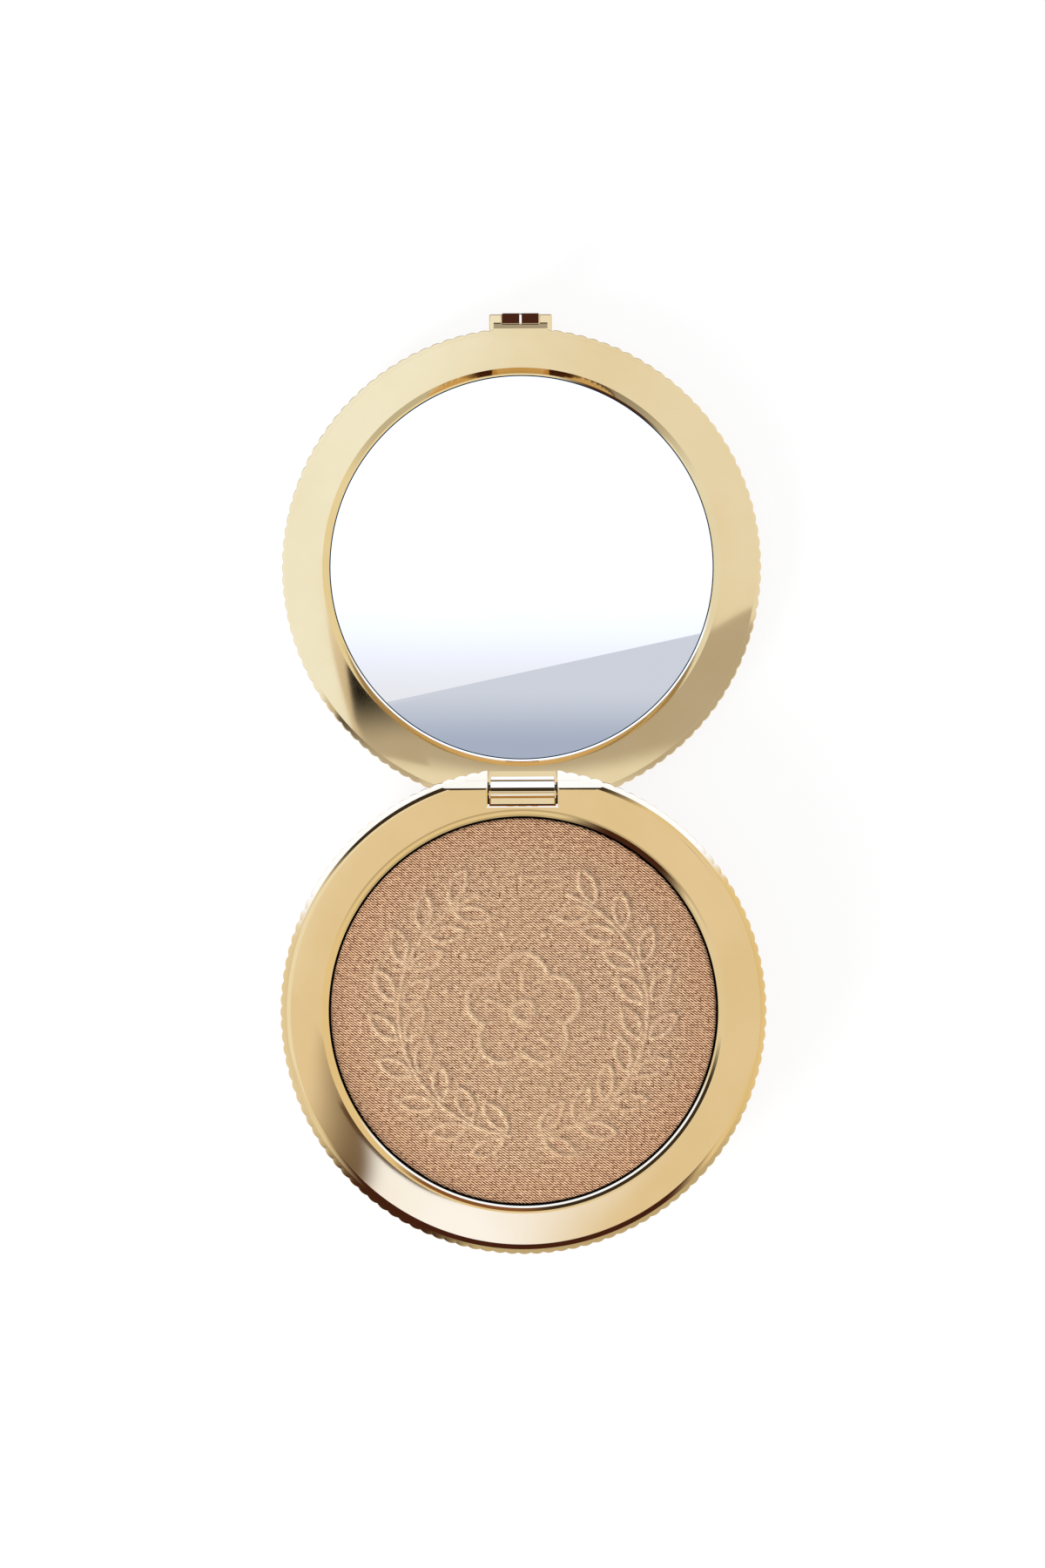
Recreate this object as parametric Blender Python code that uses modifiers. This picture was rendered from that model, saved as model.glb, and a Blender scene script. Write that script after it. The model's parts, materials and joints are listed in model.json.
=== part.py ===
"""Powder compact, shown open: pressed powder in the base, a mirror in the lid, one hinge at the rear.

Run it with blender --background --python part.py, or from Blender's text editor.
Metres, +Z up. The origin is the middle of the foot. The hinge axis lies along X at the rear (+Y),
and the latch side of the closed compact is the front (-Y).
"""
import math

import bmesh
import bpy

MM = 0.001

# Pan and powder
PAN_RADIUS = 29.25 * MM
PAN_HEIGHT = 4.0 * MM
PAN_WALL = 0.35 * MM
PAN_FLOOR = 0.5 * MM
POWDER_RISE = 0.3 * MM
POWDER_CROWN = 0.2 * MM
POWDER_EDGE = 0.6 * MM
POWDER_RECESS = 1.1 * MM
PAN_GLUE_RADIUS = 20.0 * MM
PAN_GLUE_THICKNESS = 0.4 * MM

# Rings that face the user, on the base and on the lid
WELL_GAP = 0.4 * MM
RING_WIDTH = 7.35 * MM
LIP_WIDTH = 1.3 * MM
LIP_DROP = 1.1 * MM
LIP_ROUND = 0.35 * MM
FACE_DISH = 0.08 * MM
EDGE_WIDTH = 0.75 * MM
EDGE_DROP = 0.33 * MM
FLANGE_THICKNESS = 0.75 * MM
TRAY_WALL = 0.5 * MM
TRAY_FLOOR = 0.8 * MM

# Scalloped rims
SCALLOP_COUNT = 120
SCALLOP_DEPTH = 0.35 * MM
SCALLOP_STEPS = 4
LEDGE_WIDTH = 0.85 * MM
BASE_BAND = 5.2 * MM
LID_BAND = 2.2 * MM

# Base shell
DECK_HEIGHT = 12.5 * MM
FOOT_RADIUS = 28.0 * MM
FOOT_STEP = 0.5 * MM
SHELL_FLOOR = 1.6 * MM
SHELL_WALL = 1.8 * MM

# Lid shell
LID_HEIGHT = 4.9 * MM
LID_SHOULDER = 3.0 * MM
LID_DOME = 0.5 * MM

# Mirror
MIRROR_GAP = 0.3 * MM
MIRROR_RECESS = 0.95 * MM
MIRROR_THICKNESS = 1.0 * MM
MIRROR_BEVEL = 0.2 * MM
MIRROR_GLUE_RADIUS = 22.0 * MM
MIRROR_GLUE_THICKNESS = 0.3 * MM

# Hinge
HINGE_INSET = 3.0 * MM
LID_TABLE_GAP = 0.3 * MM
BARREL_RADIUS = 2.1 * MM
BARREL_WIDTH = 9.5 * MM
NOTCH_SIDE_GAP = 0.25 * MM
NOTCH_FRONT_GAP = 0.35 * MM
NOTCH_STEP = 0.5 * MM
NOTCH_STEP_DROP = 2.0 * MM
WEB_SETBACK = 0.2 * MM
PIN_RADIUS = 0.8 * MM
PIN_LENGTH = 21.0 * MM
PIN_GAP = 0.15 * MM
PIN_END_GAP = 0.25 * MM
OPEN_ANGLE = math.radians(180.0)
BASE_RELIEF_START = 0.2 * MM
BASE_RELIEF_ANGLE = math.radians(40.0)
LID_RELIEF_START = 1.6 * MM
LID_RELIEF_ANGLE = math.radians(36.0)

# Latch
LATCH_LIP_WIDTH = 9.7 * MM
LATCH_LIP_REACH = 2.1 * MM
TONGUE_WIDTH = 8.3 * MM
TONGUE_REACH = 0.4 * MM
HOOK_WIDTH = 6.0 * MM
HOOK_SETBACK = 0.5 * MM
HOOK_THICKNESS = 0.9 * MM
HOOK_DROP = 3.4 * MM
HOOK_ROUND = 0.3 * MM
LATCH_LIP_ROUND = 0.6 * MM
NUB_HEIGHT = 0.8 * MM
NUB_BITE = 0.25 * MM
GROOVE_GAP = 0.4 * MM

# Fits and facets
SEAT_GAP = 0.25 * MM
CLOSED_GAP = 0.3 * MM
TURN_STEPS = 72
BARREL_STEPS = 32
PIN_STEPS = 20
ARC_STEPS = 3
CUT_MARGIN = 4.0 * MM
CORE_INSET = 0.5 * MM

# Sizes that follow from the ones above
WELL_RADIUS = PAN_RADIUS + WELL_GAP
RIM_RADIUS = WELL_RADIUS + RING_WIDTH
VALLEY_RADIUS = RIM_RADIUS - SCALLOP_DEPTH
CORE_RADIUS = VALLEY_RADIUS - CORE_INSET
RING_RADIUS = RIM_RADIUS - LEDGE_WIDTH
TRAY_RADIUS = WELL_RADIUS + TRAY_WALL
POCKET_RADIUS = TRAY_RADIUS + SEAT_GAP
LEDGE_DROP = FLANGE_THICKNESS + SEAT_GAP
BASE_LEDGE = DECK_HEIGHT - LEDGE_DROP
BAND_BOTTOM = BASE_LEDGE - BASE_BAND
POWDER_EDGE_TOP = DECK_HEIGHT - POWDER_RECESS
PAN_TOP = POWDER_EDGE_TOP - POWDER_RISE
PAN_BOTTOM = PAN_TOP - PAN_HEIGHT
PAN_GLUE_TOP = PAN_BOTTOM - SEAT_GAP
TRAY_FLOOR_TOP = PAN_GLUE_TOP - PAN_GLUE_THICKNESS - SEAT_GAP
TRAY_BOTTOM = TRAY_FLOOR_TOP - TRAY_FLOOR
HINGE_Y = RIM_RADIUS - HINGE_INSET
HINGE_DROP = (DECK_HEIGHT - CLOSED_GAP - LID_HEIGHT - LID_TABLE_GAP) / 2
HINGE_Z = DECK_HEIGHT - HINGE_DROP
LID_FACE = HINGE_DROP + CLOSED_GAP
NOTCH_HALF = BARREL_WIDTH / 2 + NOTCH_SIDE_GAP
NOTCH_FRONT = HINGE_Y - BARREL_RADIUS - NOTCH_FRONT_GAP
MIRROR_RADIUS = WELL_RADIUS - MIRROR_GAP
MIRROR_BACK = MIRROR_RECESS + MIRROR_THICKNESS
MIRROR_GLUE_FRONT = MIRROR_BACK + SEAT_GAP
LID_TRAY_FLOOR = MIRROR_GLUE_FRONT + MIRROR_GLUE_THICKNESS + SEAT_GAP
LID_TRAY_BACK = LID_TRAY_FLOOR + TRAY_FLOOR
LID_BAND_TOP = LEDGE_DROP + LID_BAND
LATCH_LIP_OUTER = RIM_RADIUS + LATCH_LIP_REACH
HOOK_OUTER = LATCH_LIP_OUTER - HOOK_SETBACK
HOOK_INNER = HOOK_OUTER - HOOK_THICKNESS
NUB_INNER = RIM_RADIUS - NUB_BITE
NUB_LOW = HOOK_ROUND - HOOK_DROP
NUB_CLOSED = DECK_HEIGHT + CLOSED_GAP + NUB_LOW

PART_NAME = "powder_compact"
CUTTER_NAME = "powder_compact_cutters"


def clear_scene():
    """Remove every object and make the two collections."""
    for item in list(bpy.data.objects):
        bpy.data.objects.remove(item, do_unlink=True)
    for name in (PART_NAME, CUTTER_NAME):
        bpy.context.scene.collection.children.link(bpy.data.collections.new(name))


def material(name, colour, roughness, metallic):
    """A Principled material with one colour."""
    made = bpy.data.materials.new(name)
    made.use_nodes = True
    shader = made.node_tree.nodes["Principled BSDF"]
    shader.inputs["Base Color"].default_value = (*colour, 1.0)
    shader.inputs["Roughness"].default_value = roughness
    shader.inputs["Metallic"].default_value = metallic
    return made


def add_object(name, mesh, parent, tool):
    """Link a mesh as a part, or as a tool body that only cuts or joins."""
    item = bpy.data.objects.new(name, mesh)
    bpy.data.collections[CUTTER_NAME if tool else PART_NAME].objects.link(item)
    item.parent = parent
    if parent is not None:
        item.location = (0.0, -HINGE_Y, LID_FACE)
    if tool:
        item.hide_render = True
        item.display_type = "WIRE"
    return item


def turned(name, profile, parent=None, tool=False):
    """A turned body: a profile of radius and height, from the axis at the top down the outer side."""
    mesh = bpy.data.meshes.new(name)
    points = [(radius, 0.0, height) for radius, height in profile]
    edges = [(i, i + 1) for i in range(len(points) - 1)]
    mesh.from_pydata(points, edges, [])
    item = add_object(name, mesh, parent, tool)
    screw = item.modifiers.new("Turn", "SCREW")
    screw.steps = TURN_STEPS
    screw.render_steps = TURN_STEPS
    screw.use_merge_vertices = True
    screw.merge_threshold = 0.00001
    screw.use_smooth_shade = True
    return item


def mesh_object(name, build, parent=None, tool=False):
    """An object whose mesh is filled by a bmesh function."""
    shape = bmesh.new()
    build(shape)
    mesh = bpy.data.meshes.new(name)
    shape.to_mesh(mesh)
    shape.free()
    return add_object(name, mesh, parent, tool)


def block(name, low, high, parent=None, tool=False):
    """A box between two corners."""
    def build(shape):
        bmesh.ops.create_cube(shape, size=1.0)
        for vert in shape.verts:
            for axis in range(3):
                vert.co[axis] = high[axis] if vert.co[axis] > 0.0 else low[axis]
    return mesh_object(name, build, parent, tool)


def rod(name, radius, length, centre, steps, parent=None, tool=False):
    """A cylinder along X."""
    def build(shape):
        bmesh.ops.create_cone(shape, cap_ends=True, segments=steps, radius1=radius, radius2=radius,
                              depth=length)
        for vert in shape.verts:
            across, up, along = vert.co
            vert.co = (centre[0] + along, centre[1] + across, centre[2] + up)
    return mesh_object(name, build, parent, tool)


def scalloped_disc(name, low, high, parent=None):
    """A disc whose edge is a row of convex scallops with sharp valleys; one scallop faces straight ahead."""
    def build(shape):
        steps = SCALLOP_COUNT * SCALLOP_STEPS
        bmesh.ops.create_cone(shape, cap_ends=True, segments=steps, radius1=1.0, radius2=1.0, depth=1.0)
        for vert in shape.verts:
            angle = math.atan2(vert.co.y, vert.co.x)
            place = (angle * SCALLOP_COUNT / math.tau + 0.5) % 1.0
            across = 2.0 * place - 1.0
            radius = RIM_RADIUS - SCALLOP_DEPTH * across * across
            height = high if vert.co.z > 0.0 else low
            vert.co = (radius * math.cos(angle), radius * math.sin(angle), height)
    return mesh_object(name, build, parent, tool=True)


def relief_wedge(name, front, height, angle, below, parent=None):
    """A tool body with one sloping face through a line along X, to clear the other half at the rear."""
    reach = RIM_RADIUS
    side = -1.0 if below else 1.0
    slope = math.tan(angle) if below else -math.tan(angle)
    rise = reach * abs(slope) + CUT_MARGIN

    def build(shape):
        bmesh.ops.create_cube(shape, size=1.0)
        for vert in shape.verts:
            along = reach if vert.co.y > 0.0 else 0.0
            surface = height + along * slope
            far = height + side * rise
            on_slope = (vert.co.z > 0.0) == below
            vert.co = (reach if vert.co.x > 0.0 else -reach, front + along, surface if on_slope else far)
    return mesh_object(name, build, parent, tool=True)


def round_edges(item, width):
    """Round every edge of a box."""
    bevel = item.modifiers.new("Rounded edges", "BEVEL")
    bevel.width = width
    bevel.segments = 2


def combine(item, tool, operation):
    """Cut a part with a tool body, or join the tool body to it."""
    modifier = item.modifiers.new(tool.name, "BOOLEAN")
    modifier.operation = operation
    modifier.object = tool
    modifier.solver = "EXACT"


def arc(centre_x, centre_y, radius_x, radius_y, start, end):
    """Points along an elliptical arc, angles in degrees, both ends included."""
    points = []
    for step in range(ARC_STEPS + 1):
        angle = math.radians(start + (end - start) * step / ARC_STEPS)
        points.append((centre_x + radius_x * math.cos(angle), centre_y + radius_y * math.sin(angle)))
    return points


def ring_face(face, side):
    """The ring's section from the bevelled well lip, over the dished face, to the rounded outer edge.

    The face lies at height face, and side is 1 where it looks up and -1 where it looks down.
    """
    lip_end = WELL_RADIUS + LIP_WIDTH
    lip = [
        (WELL_RADIUS, face - side * LIP_DROP),
        (lip_end - LIP_ROUND, face - side * (FACE_DISH + LIP_ROUND / 2)),
        (lip_end, face - side * FACE_DISH),
    ]
    edge_start = RING_RADIUS - EDGE_WIDTH
    edge = [
        (edge_start, face),
        (edge_start + EDGE_WIDTH / 2, face - side * EDGE_DROP / 4),
        (RING_RADIUS, face - side * EDGE_DROP),
        (RING_RADIUS, face - side * FLANGE_THICKNESS),
    ]
    return lip + edge


def cut_hinge_notch(item):
    """Cut the stepped hinge notch and the rear relief out of a part of the base."""
    for tool in ("base_notch", "base_notch_step", "base_relief"):
        combine(item, bpy.data.objects[tool], "DIFFERENCE")


def build_base_shell(gold):
    """Scalloped bowl with a pocket for the tray, the hinge notch with its pin bores, and the catch groove."""
    item = turned("base_shell", [
        (0.0, BASE_LEDGE - CORE_INSET),
        (CORE_RADIUS, BASE_LEDGE - CORE_INSET),
        (CORE_RADIUS, BAND_BOTTOM),
        (FOOT_RADIUS + FOOT_STEP, FOOT_STEP),
        (FOOT_RADIUS, 0.0),
        (0.0, 0.0),
    ])
    combine(item, scalloped_disc("base_scallops", BAND_BOTTOM, BASE_LEDGE), "UNION")
    cavity = turned("base_cavity", [
        (0.0, DECK_HEIGHT),
        (POCKET_RADIUS, DECK_HEIGHT),
        (POCKET_RADIUS, TRAY_BOTTOM - SEAT_GAP),
        (FOOT_RADIUS - SHELL_WALL, SHELL_FLOOR),
        (0.0, SHELL_FLOOR),
    ], tool=True)
    combine(item, cavity, "DIFFERENCE")
    cut_hinge_notch(item)
    bore = rod("pin_bore", PIN_RADIUS + PIN_GAP, PIN_LENGTH + 2 * PIN_END_GAP,
               (0.0, HINGE_Y, HINGE_Z), PIN_STEPS, tool=True)
    combine(item, bore, "DIFFERENCE")
    groove_half = HOOK_WIDTH / 2 + GROOVE_GAP
    groove = block("catch_groove", (-groove_half, -RIM_RADIUS - CUT_MARGIN, NUB_CLOSED - GROOVE_GAP),
                   (groove_half, -NUB_INNER + GROOVE_GAP, NUB_CLOSED + NUB_HEIGHT + GROOVE_GAP), tool=True)
    combine(item, groove, "DIFFERENCE")
    item.data.materials.append(gold)


def build_base_tray(gold):
    """Tray that drops into the shell: a well for the pan and the gold ring round it."""
    item = turned("base_tray", [
        (0.0, TRAY_FLOOR_TOP),
        (WELL_RADIUS, TRAY_FLOOR_TOP),
        *ring_face(DECK_HEIGHT, 1.0),
        (TRAY_RADIUS, DECK_HEIGHT - FLANGE_THICKNESS),
        (TRAY_RADIUS, TRAY_BOTTOM),
        (0.0, TRAY_BOTTOM),
    ])
    cut_hinge_notch(item)
    item.data.materials.append(gold)


def build_pan(metal, glue, powder):
    """Metal pan, the glue pad under it and the powder pressed into it."""
    pan = turned("powder_pan", [
        (0.0, PAN_BOTTOM + PAN_FLOOR),
        (PAN_RADIUS - PAN_WALL, PAN_BOTTOM + PAN_FLOOR),
        (PAN_RADIUS - PAN_WALL, PAN_TOP),
        (PAN_RADIUS, PAN_TOP),
        (PAN_RADIUS, PAN_BOTTOM),
        (0.0, PAN_BOTTOM),
    ])
    pan.data.materials.append(metal)
    pad = turned("pan_adhesive", [
        (0.0, PAN_GLUE_TOP),
        (PAN_GLUE_RADIUS, PAN_GLUE_TOP),
        (PAN_GLUE_RADIUS, PAN_GLUE_TOP - PAN_GLUE_THICKNESS),
        (0.0, PAN_GLUE_TOP - PAN_GLUE_THICKNESS),
    ])
    pad.data.materials.append(glue)
    cake_radius = PAN_RADIUS - PAN_WALL - SEAT_GAP
    cake = turned("pressed_powder", [
        (0.0, POWDER_EDGE_TOP + POWDER_CROWN),
        (cake_radius / 2, POWDER_EDGE_TOP + 0.75 * POWDER_CROWN),
        *arc(cake_radius - POWDER_EDGE, POWDER_EDGE_TOP - POWDER_RISE, POWDER_EDGE, POWDER_RISE, 90.0, 0.0),
        (cake_radius, PAN_BOTTOM + PAN_FLOOR + SEAT_GAP),
        (0.0, PAN_BOTTOM + PAN_FLOOR + SEAT_GAP),
    ])
    cake.data.materials.append(powder)


def build_hinge_pin(steel):
    """Steel pin through the barrel, its ends in the base."""
    pin = rod("hinge_pin", PIN_RADIUS, PIN_LENGTH, (0.0, HINGE_Y, HINGE_Z), PIN_STEPS)
    pin.data.materials.append(steel)


def build_lid_shell(gold, lid):
    """Shallow scalloped lid with the hinge barrel at the rear and the thumb lip at the front.

    In the lid's own frame height 0 is the face that meets the base, and the outside is up.
    """
    shoulder_top = LID_HEIGHT - LID_DOME
    item = turned("lid_shell", [
        (0.0, LID_HEIGHT),
        (CORE_RADIUS / 2, LID_HEIGHT - LID_DOME / 4),
        *arc(CORE_RADIUS - LID_SHOULDER, LID_BAND_TOP, LID_SHOULDER, shoulder_top - LID_BAND_TOP, 90.0, 0.0),
        (CORE_RADIUS, LEDGE_DROP + CORE_INSET),
        (0.0, LEDGE_DROP + CORE_INSET),
    ], lid)
    combine(item, scalloped_disc("lid_scallops", LEDGE_DROP, LID_BAND_TOP, lid), "UNION")
    lip = block("thumb_lip", (-LATCH_LIP_WIDTH / 2, -LATCH_LIP_OUTER, LEDGE_DROP),
                (LATCH_LIP_WIDTH / 2, -RING_RADIUS, LID_BAND_TOP), lid, tool=True)
    round_edges(lip, LATCH_LIP_ROUND)
    combine(item, lip, "UNION")
    pocket = turned("lid_pocket", [
        (0.0, LID_TRAY_BACK + SEAT_GAP),
        (POCKET_RADIUS, LID_TRAY_BACK + SEAT_GAP),
        (POCKET_RADIUS, 0.0),
        (0.0, 0.0),
    ], lid, tool=True)
    combine(item, pocket, "DIFFERENCE")
    combine(item, bpy.data.objects["lid_relief"], "DIFFERENCE")
    axis = (0.0, HINGE_Y, -LID_FACE)
    web = block("hinge_web", (-BARREL_WIDTH / 2, HINGE_Y - WEB_SETBACK, -LID_FACE),
                (BARREL_WIDTH / 2, HINGE_Y + BARREL_RADIUS, LID_BAND_TOP), lid, tool=True)
    combine(item, web, "UNION")
    barrel = rod("hinge_barrel", BARREL_RADIUS, BARREL_WIDTH, axis, BARREL_STEPS, lid, tool=True)
    combine(item, barrel, "UNION")
    bore_length = BARREL_WIDTH + CUT_MARGIN
    bore = rod("barrel_bore", PIN_RADIUS + PIN_GAP, bore_length, axis, PIN_STEPS, lid, tool=True)
    combine(item, bore, "DIFFERENCE")
    item.data.materials.append(gold)


def build_mirror_tray(gold, lid):
    """Tray in the lid: a recess for the mirror and the gold ring round it, with a tongue over the latch."""
    item = turned("mirror_tray", [
        (0.0, LID_TRAY_BACK),
        (TRAY_RADIUS, LID_TRAY_BACK),
        (TRAY_RADIUS, FLANGE_THICKNESS),
        *reversed(ring_face(0.0, -1.0)),
        (WELL_RADIUS, LID_TRAY_FLOOR),
        (0.0, LID_TRAY_FLOOR),
    ], lid)
    tongue = block("latch_tongue", (-TONGUE_WIDTH / 2, -RIM_RADIUS - TONGUE_REACH, FACE_DISH),
                   (TONGUE_WIDTH / 2, -RING_RADIUS + EDGE_WIDTH, FLANGE_THICKNESS), lid, tool=True)
    combine(item, tongue, "UNION")
    combine(item, bpy.data.objects["lid_relief"], "DIFFERENCE")
    item.data.materials.append(gold)


def build_mirror(glass, glue, lid):
    """Round mirror with a ground edge, and the pad that holds it."""
    mirror = turned("mirror_glass", [
        (0.0, MIRROR_BACK),
        (MIRROR_RADIUS, MIRROR_BACK),
        (MIRROR_RADIUS, MIRROR_RECESS + MIRROR_BEVEL),
        (MIRROR_RADIUS - MIRROR_BEVEL, MIRROR_RECESS),
        (0.0, MIRROR_RECESS),
    ], lid)
    mirror.data.materials.append(glass)
    pad = turned("mirror_adhesive", [
        (0.0, MIRROR_GLUE_FRONT + MIRROR_GLUE_THICKNESS),
        (MIRROR_GLUE_RADIUS, MIRROR_GLUE_FRONT + MIRROR_GLUE_THICKNESS),
        (MIRROR_GLUE_RADIUS, MIRROR_GLUE_FRONT),
        (0.0, MIRROR_GLUE_FRONT),
    ], lid)
    pad.data.materials.append(glue)


def build_latch_hook(gold, lid):
    """Hook under the thumb lip, hung over the base's front edge, with a nub that snaps into the groove."""
    hook_top = LEDGE_DROP - SEAT_GAP
    item = block("latch_hook", (-HOOK_WIDTH / 2, -HOOK_OUTER, -HOOK_DROP),
                 (HOOK_WIDTH / 2, -HOOK_INNER, hook_top), lid)
    round_edges(item, HOOK_ROUND)
    nub_half = HOOK_WIDTH / 2 - HOOK_ROUND
    nub = block("latch_nub", (-nub_half, -HOOK_OUTER + HOOK_THICKNESS / 2, NUB_LOW),
                (nub_half, -NUB_INNER, NUB_LOW + NUB_HEIGHT), lid, tool=True)
    combine(item, nub, "UNION")
    item.data.materials.append(gold)


def main():
    """Build the compact with its lid at the open stop."""
    clear_scene()
    gold_base = material("gold plating, base", (0.72, 0.53, 0.27), 0.12, 1.0)
    gold_lid = material("gold plating, lid", (0.80, 0.66, 0.41), 0.12, 1.0)
    aluminium = material("aluminium", (0.75, 0.76, 0.78), 0.35, 1.0)
    steel = material("steel", (0.55, 0.55, 0.56), 0.3, 1.0)
    glue = material("glue pad", (0.9, 0.9, 0.86), 0.6, 0.0)
    powder = material("pressed powder", (0.60, 0.36, 0.21), 0.9, 0.0)
    silvering = material("mirror", (0.92, 0.94, 0.96), 0.02, 1.0)

    notch_corner = (NOTCH_HALF, RIM_RADIUS + CUT_MARGIN, DECK_HEIGHT + CUT_MARGIN)
    block("base_notch", (-NOTCH_HALF, NOTCH_FRONT, -CUT_MARGIN), notch_corner, tool=True)
    step_half = NOTCH_HALF + NOTCH_STEP
    block("base_notch_step", (-step_half, NOTCH_FRONT - NOTCH_STEP, DECK_HEIGHT - NOTCH_STEP_DROP),
          (step_half, notch_corner[1], notch_corner[2]), tool=True)
    relief_wedge("base_relief", HINGE_Y - BASE_RELIEF_START, DECK_HEIGHT, BASE_RELIEF_ANGLE, below=False)
    build_base_shell(gold_base)
    build_base_tray(gold_base)
    build_pan(aluminium, glue, powder)
    build_hinge_pin(steel)

    lid = bpy.data.objects.new("lid_hinge_axis", None)
    bpy.data.collections[PART_NAME].objects.link(lid)
    lid.location = (0.0, HINGE_Y, HINGE_Z)
    lid.rotation_euler = (-OPEN_ANGLE, 0.0, 0.0)
    relief_wedge("lid_relief", HINGE_Y - LID_RELIEF_START, 0.0, LID_RELIEF_ANGLE, below=True, parent=lid)
    build_lid_shell(gold_lid, lid)
    build_mirror_tray(gold_lid, lid)
    build_mirror(silvering, glue, lid)
    build_latch_hook(gold_lid, lid)
    bpy.context.view_layer.update()


main()
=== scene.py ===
"""Finished pieces, materials and stage of a powder compact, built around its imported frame.

Run it in Blender 4.5 as a script. Metres, +Z up, in the frame's own axes: the base stands on the origin,
the hinge axis runs along X behind it, and the opened lid lies behind the hinge with its mirror up.
"""
import json
import math

import bmesh
import bpy
import numpy as np
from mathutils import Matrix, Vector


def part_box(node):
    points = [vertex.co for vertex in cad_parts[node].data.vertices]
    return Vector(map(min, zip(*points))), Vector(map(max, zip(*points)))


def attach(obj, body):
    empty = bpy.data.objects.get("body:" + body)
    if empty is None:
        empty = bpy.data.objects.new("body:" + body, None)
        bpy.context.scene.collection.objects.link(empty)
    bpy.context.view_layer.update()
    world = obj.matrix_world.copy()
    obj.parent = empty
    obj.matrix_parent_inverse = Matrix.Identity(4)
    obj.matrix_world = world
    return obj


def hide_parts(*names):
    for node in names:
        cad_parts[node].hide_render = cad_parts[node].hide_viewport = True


bl_info = {
    "name": "Powder compact",
    "version": (1, 0, 0),
    "blender": (4, 5, 0),
    "location": "View3D > Sidebar > Compact",
    "description": "Models the finished pieces of a powder compact on its packed frame",
    "category": "Object",
}

MM = 0.001
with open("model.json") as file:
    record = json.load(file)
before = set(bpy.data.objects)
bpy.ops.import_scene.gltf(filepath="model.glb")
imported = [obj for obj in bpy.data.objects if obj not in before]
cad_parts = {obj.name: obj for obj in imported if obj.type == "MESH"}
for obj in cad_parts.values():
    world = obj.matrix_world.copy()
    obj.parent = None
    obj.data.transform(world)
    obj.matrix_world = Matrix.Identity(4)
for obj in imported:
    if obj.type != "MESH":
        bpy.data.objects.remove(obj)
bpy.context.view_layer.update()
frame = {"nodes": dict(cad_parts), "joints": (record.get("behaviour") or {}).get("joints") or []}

# Places read from the frame
RIM_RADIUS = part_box("base_shell")[1].x
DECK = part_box("base_tray")[1].z
BASE_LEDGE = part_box("base_shell")[1].z
RING_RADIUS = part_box("base_tray")[1].x
TRAY_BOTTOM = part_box("base_tray")[0].z
PAN_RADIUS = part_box("powder_pan")[1].x
PAN_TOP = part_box("powder_pan")[1].z
POWDER_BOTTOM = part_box("pressed_powder")[0].z
POWDER_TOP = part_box("pressed_powder")[1].z
MIRROR_LOW, MIRROR_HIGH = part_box("mirror_glass")
MIRROR_RADIUS = MIRROR_HIGH.x
LID_Y = (MIRROR_LOW.y + MIRROR_HIGH.y) / 2
LID_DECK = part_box("mirror_tray")[1].z
LID_TRAY_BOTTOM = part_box("mirror_tray")[0].z
LID_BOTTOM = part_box("lid_shell")[0].z
LIP_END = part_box("lid_shell")[1].y
HOOK_LOW, HOOK_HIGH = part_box("latch_hook")
HINGE_Y = frame["joints"][0]["pos_m"][1]
HINGE_Z = frame["joints"][0]["pos_m"][2]
PIN_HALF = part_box("hinge_pin")[1].x

# Measures of the cases and rings; angles in degrees
SCALLOP_STEPS = 12
RING_STEPS = 480
MIRROR_STEPS = 360
FACE_STEPS = 10
ARC_STEPS = 9
POCKET_ROOM = 0.75 * MM
TRAY_ROOM = 0.25 * MM
SHOULDER_TILTS = (33.5, 34.5, 35.0, 35.5, 36.0, 36.0)
# Bevels of each lip as share of its width and slope, leans of the face, and rounding of the edge
BASE_LIP = ((0.28, 39.5), (0.46, 33.5), (0.26, 43.5))
BASE_LEANS = (-1.6, -0.4)
BASE_EDGE = (4.0, 24.0, 12)
LID_LIP = ((0.26, 37.5), (0.74, 45.5))
LID_LEANS = (0.0, 0.6)
LID_EDGE = (0.012 * MM, 5.0, 60.0, 2)

# Measures of the hinge and the latch
BORE_RADIUS = 0.95 * MM
BORE_STEPS = 40
NOTCH_HALF = 5.35 * MM
WEB_HALF = 5.1 * MM
WEB_FRONT = HINGE_Y - 2.82 * MM
BARREL_HALF = 4.9 * MM
HINGE_FACETS = ((0.2 * MM, 38.0), (0.36 * MM, 20.0))
LIP_HALF = 4.85 * MM
TONGUE_HALF = 4.15 * MM
RIB_HALF = 0.17 * MM
GROOVE_HALF = 3.4 * MM
GROOVE_LOW, GROOVE_HIGH = 9.3 * MM, 10.9 * MM

# Design on the powder, in mm
POWDER_STEPS = 286
PETALS, PETAL_RING, PETAL_RADIUS = 5, 5.1, 3.7
EYE_RADIUS = 1.7
STEM_RADIUS = 19.0
LEAF_PAIRS, LEAF_FIRST, LEAF_STEP, LEAF_LEAN = 9, -78.0, 17.2, 38.0
LEAF_HALF, LEAF_BOW = 2.7, 1.15
DOTS, DOT_RING, DOT_RADIUS = 12, 12.2, 0.35


# Properties

def length(name, description, default):
    """A length property in metres."""
    return bpy.props.FloatProperty(name=name, description=description, default=default, unit="LENGTH",
                                   precision=5)


def colour(name, description, default):
    """A linear colour property."""
    return bpy.props.FloatVectorProperty(name=name, description=description, default=default, size=3,
                                         subtype="COLOR", min=0.0, max=1.0)


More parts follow.
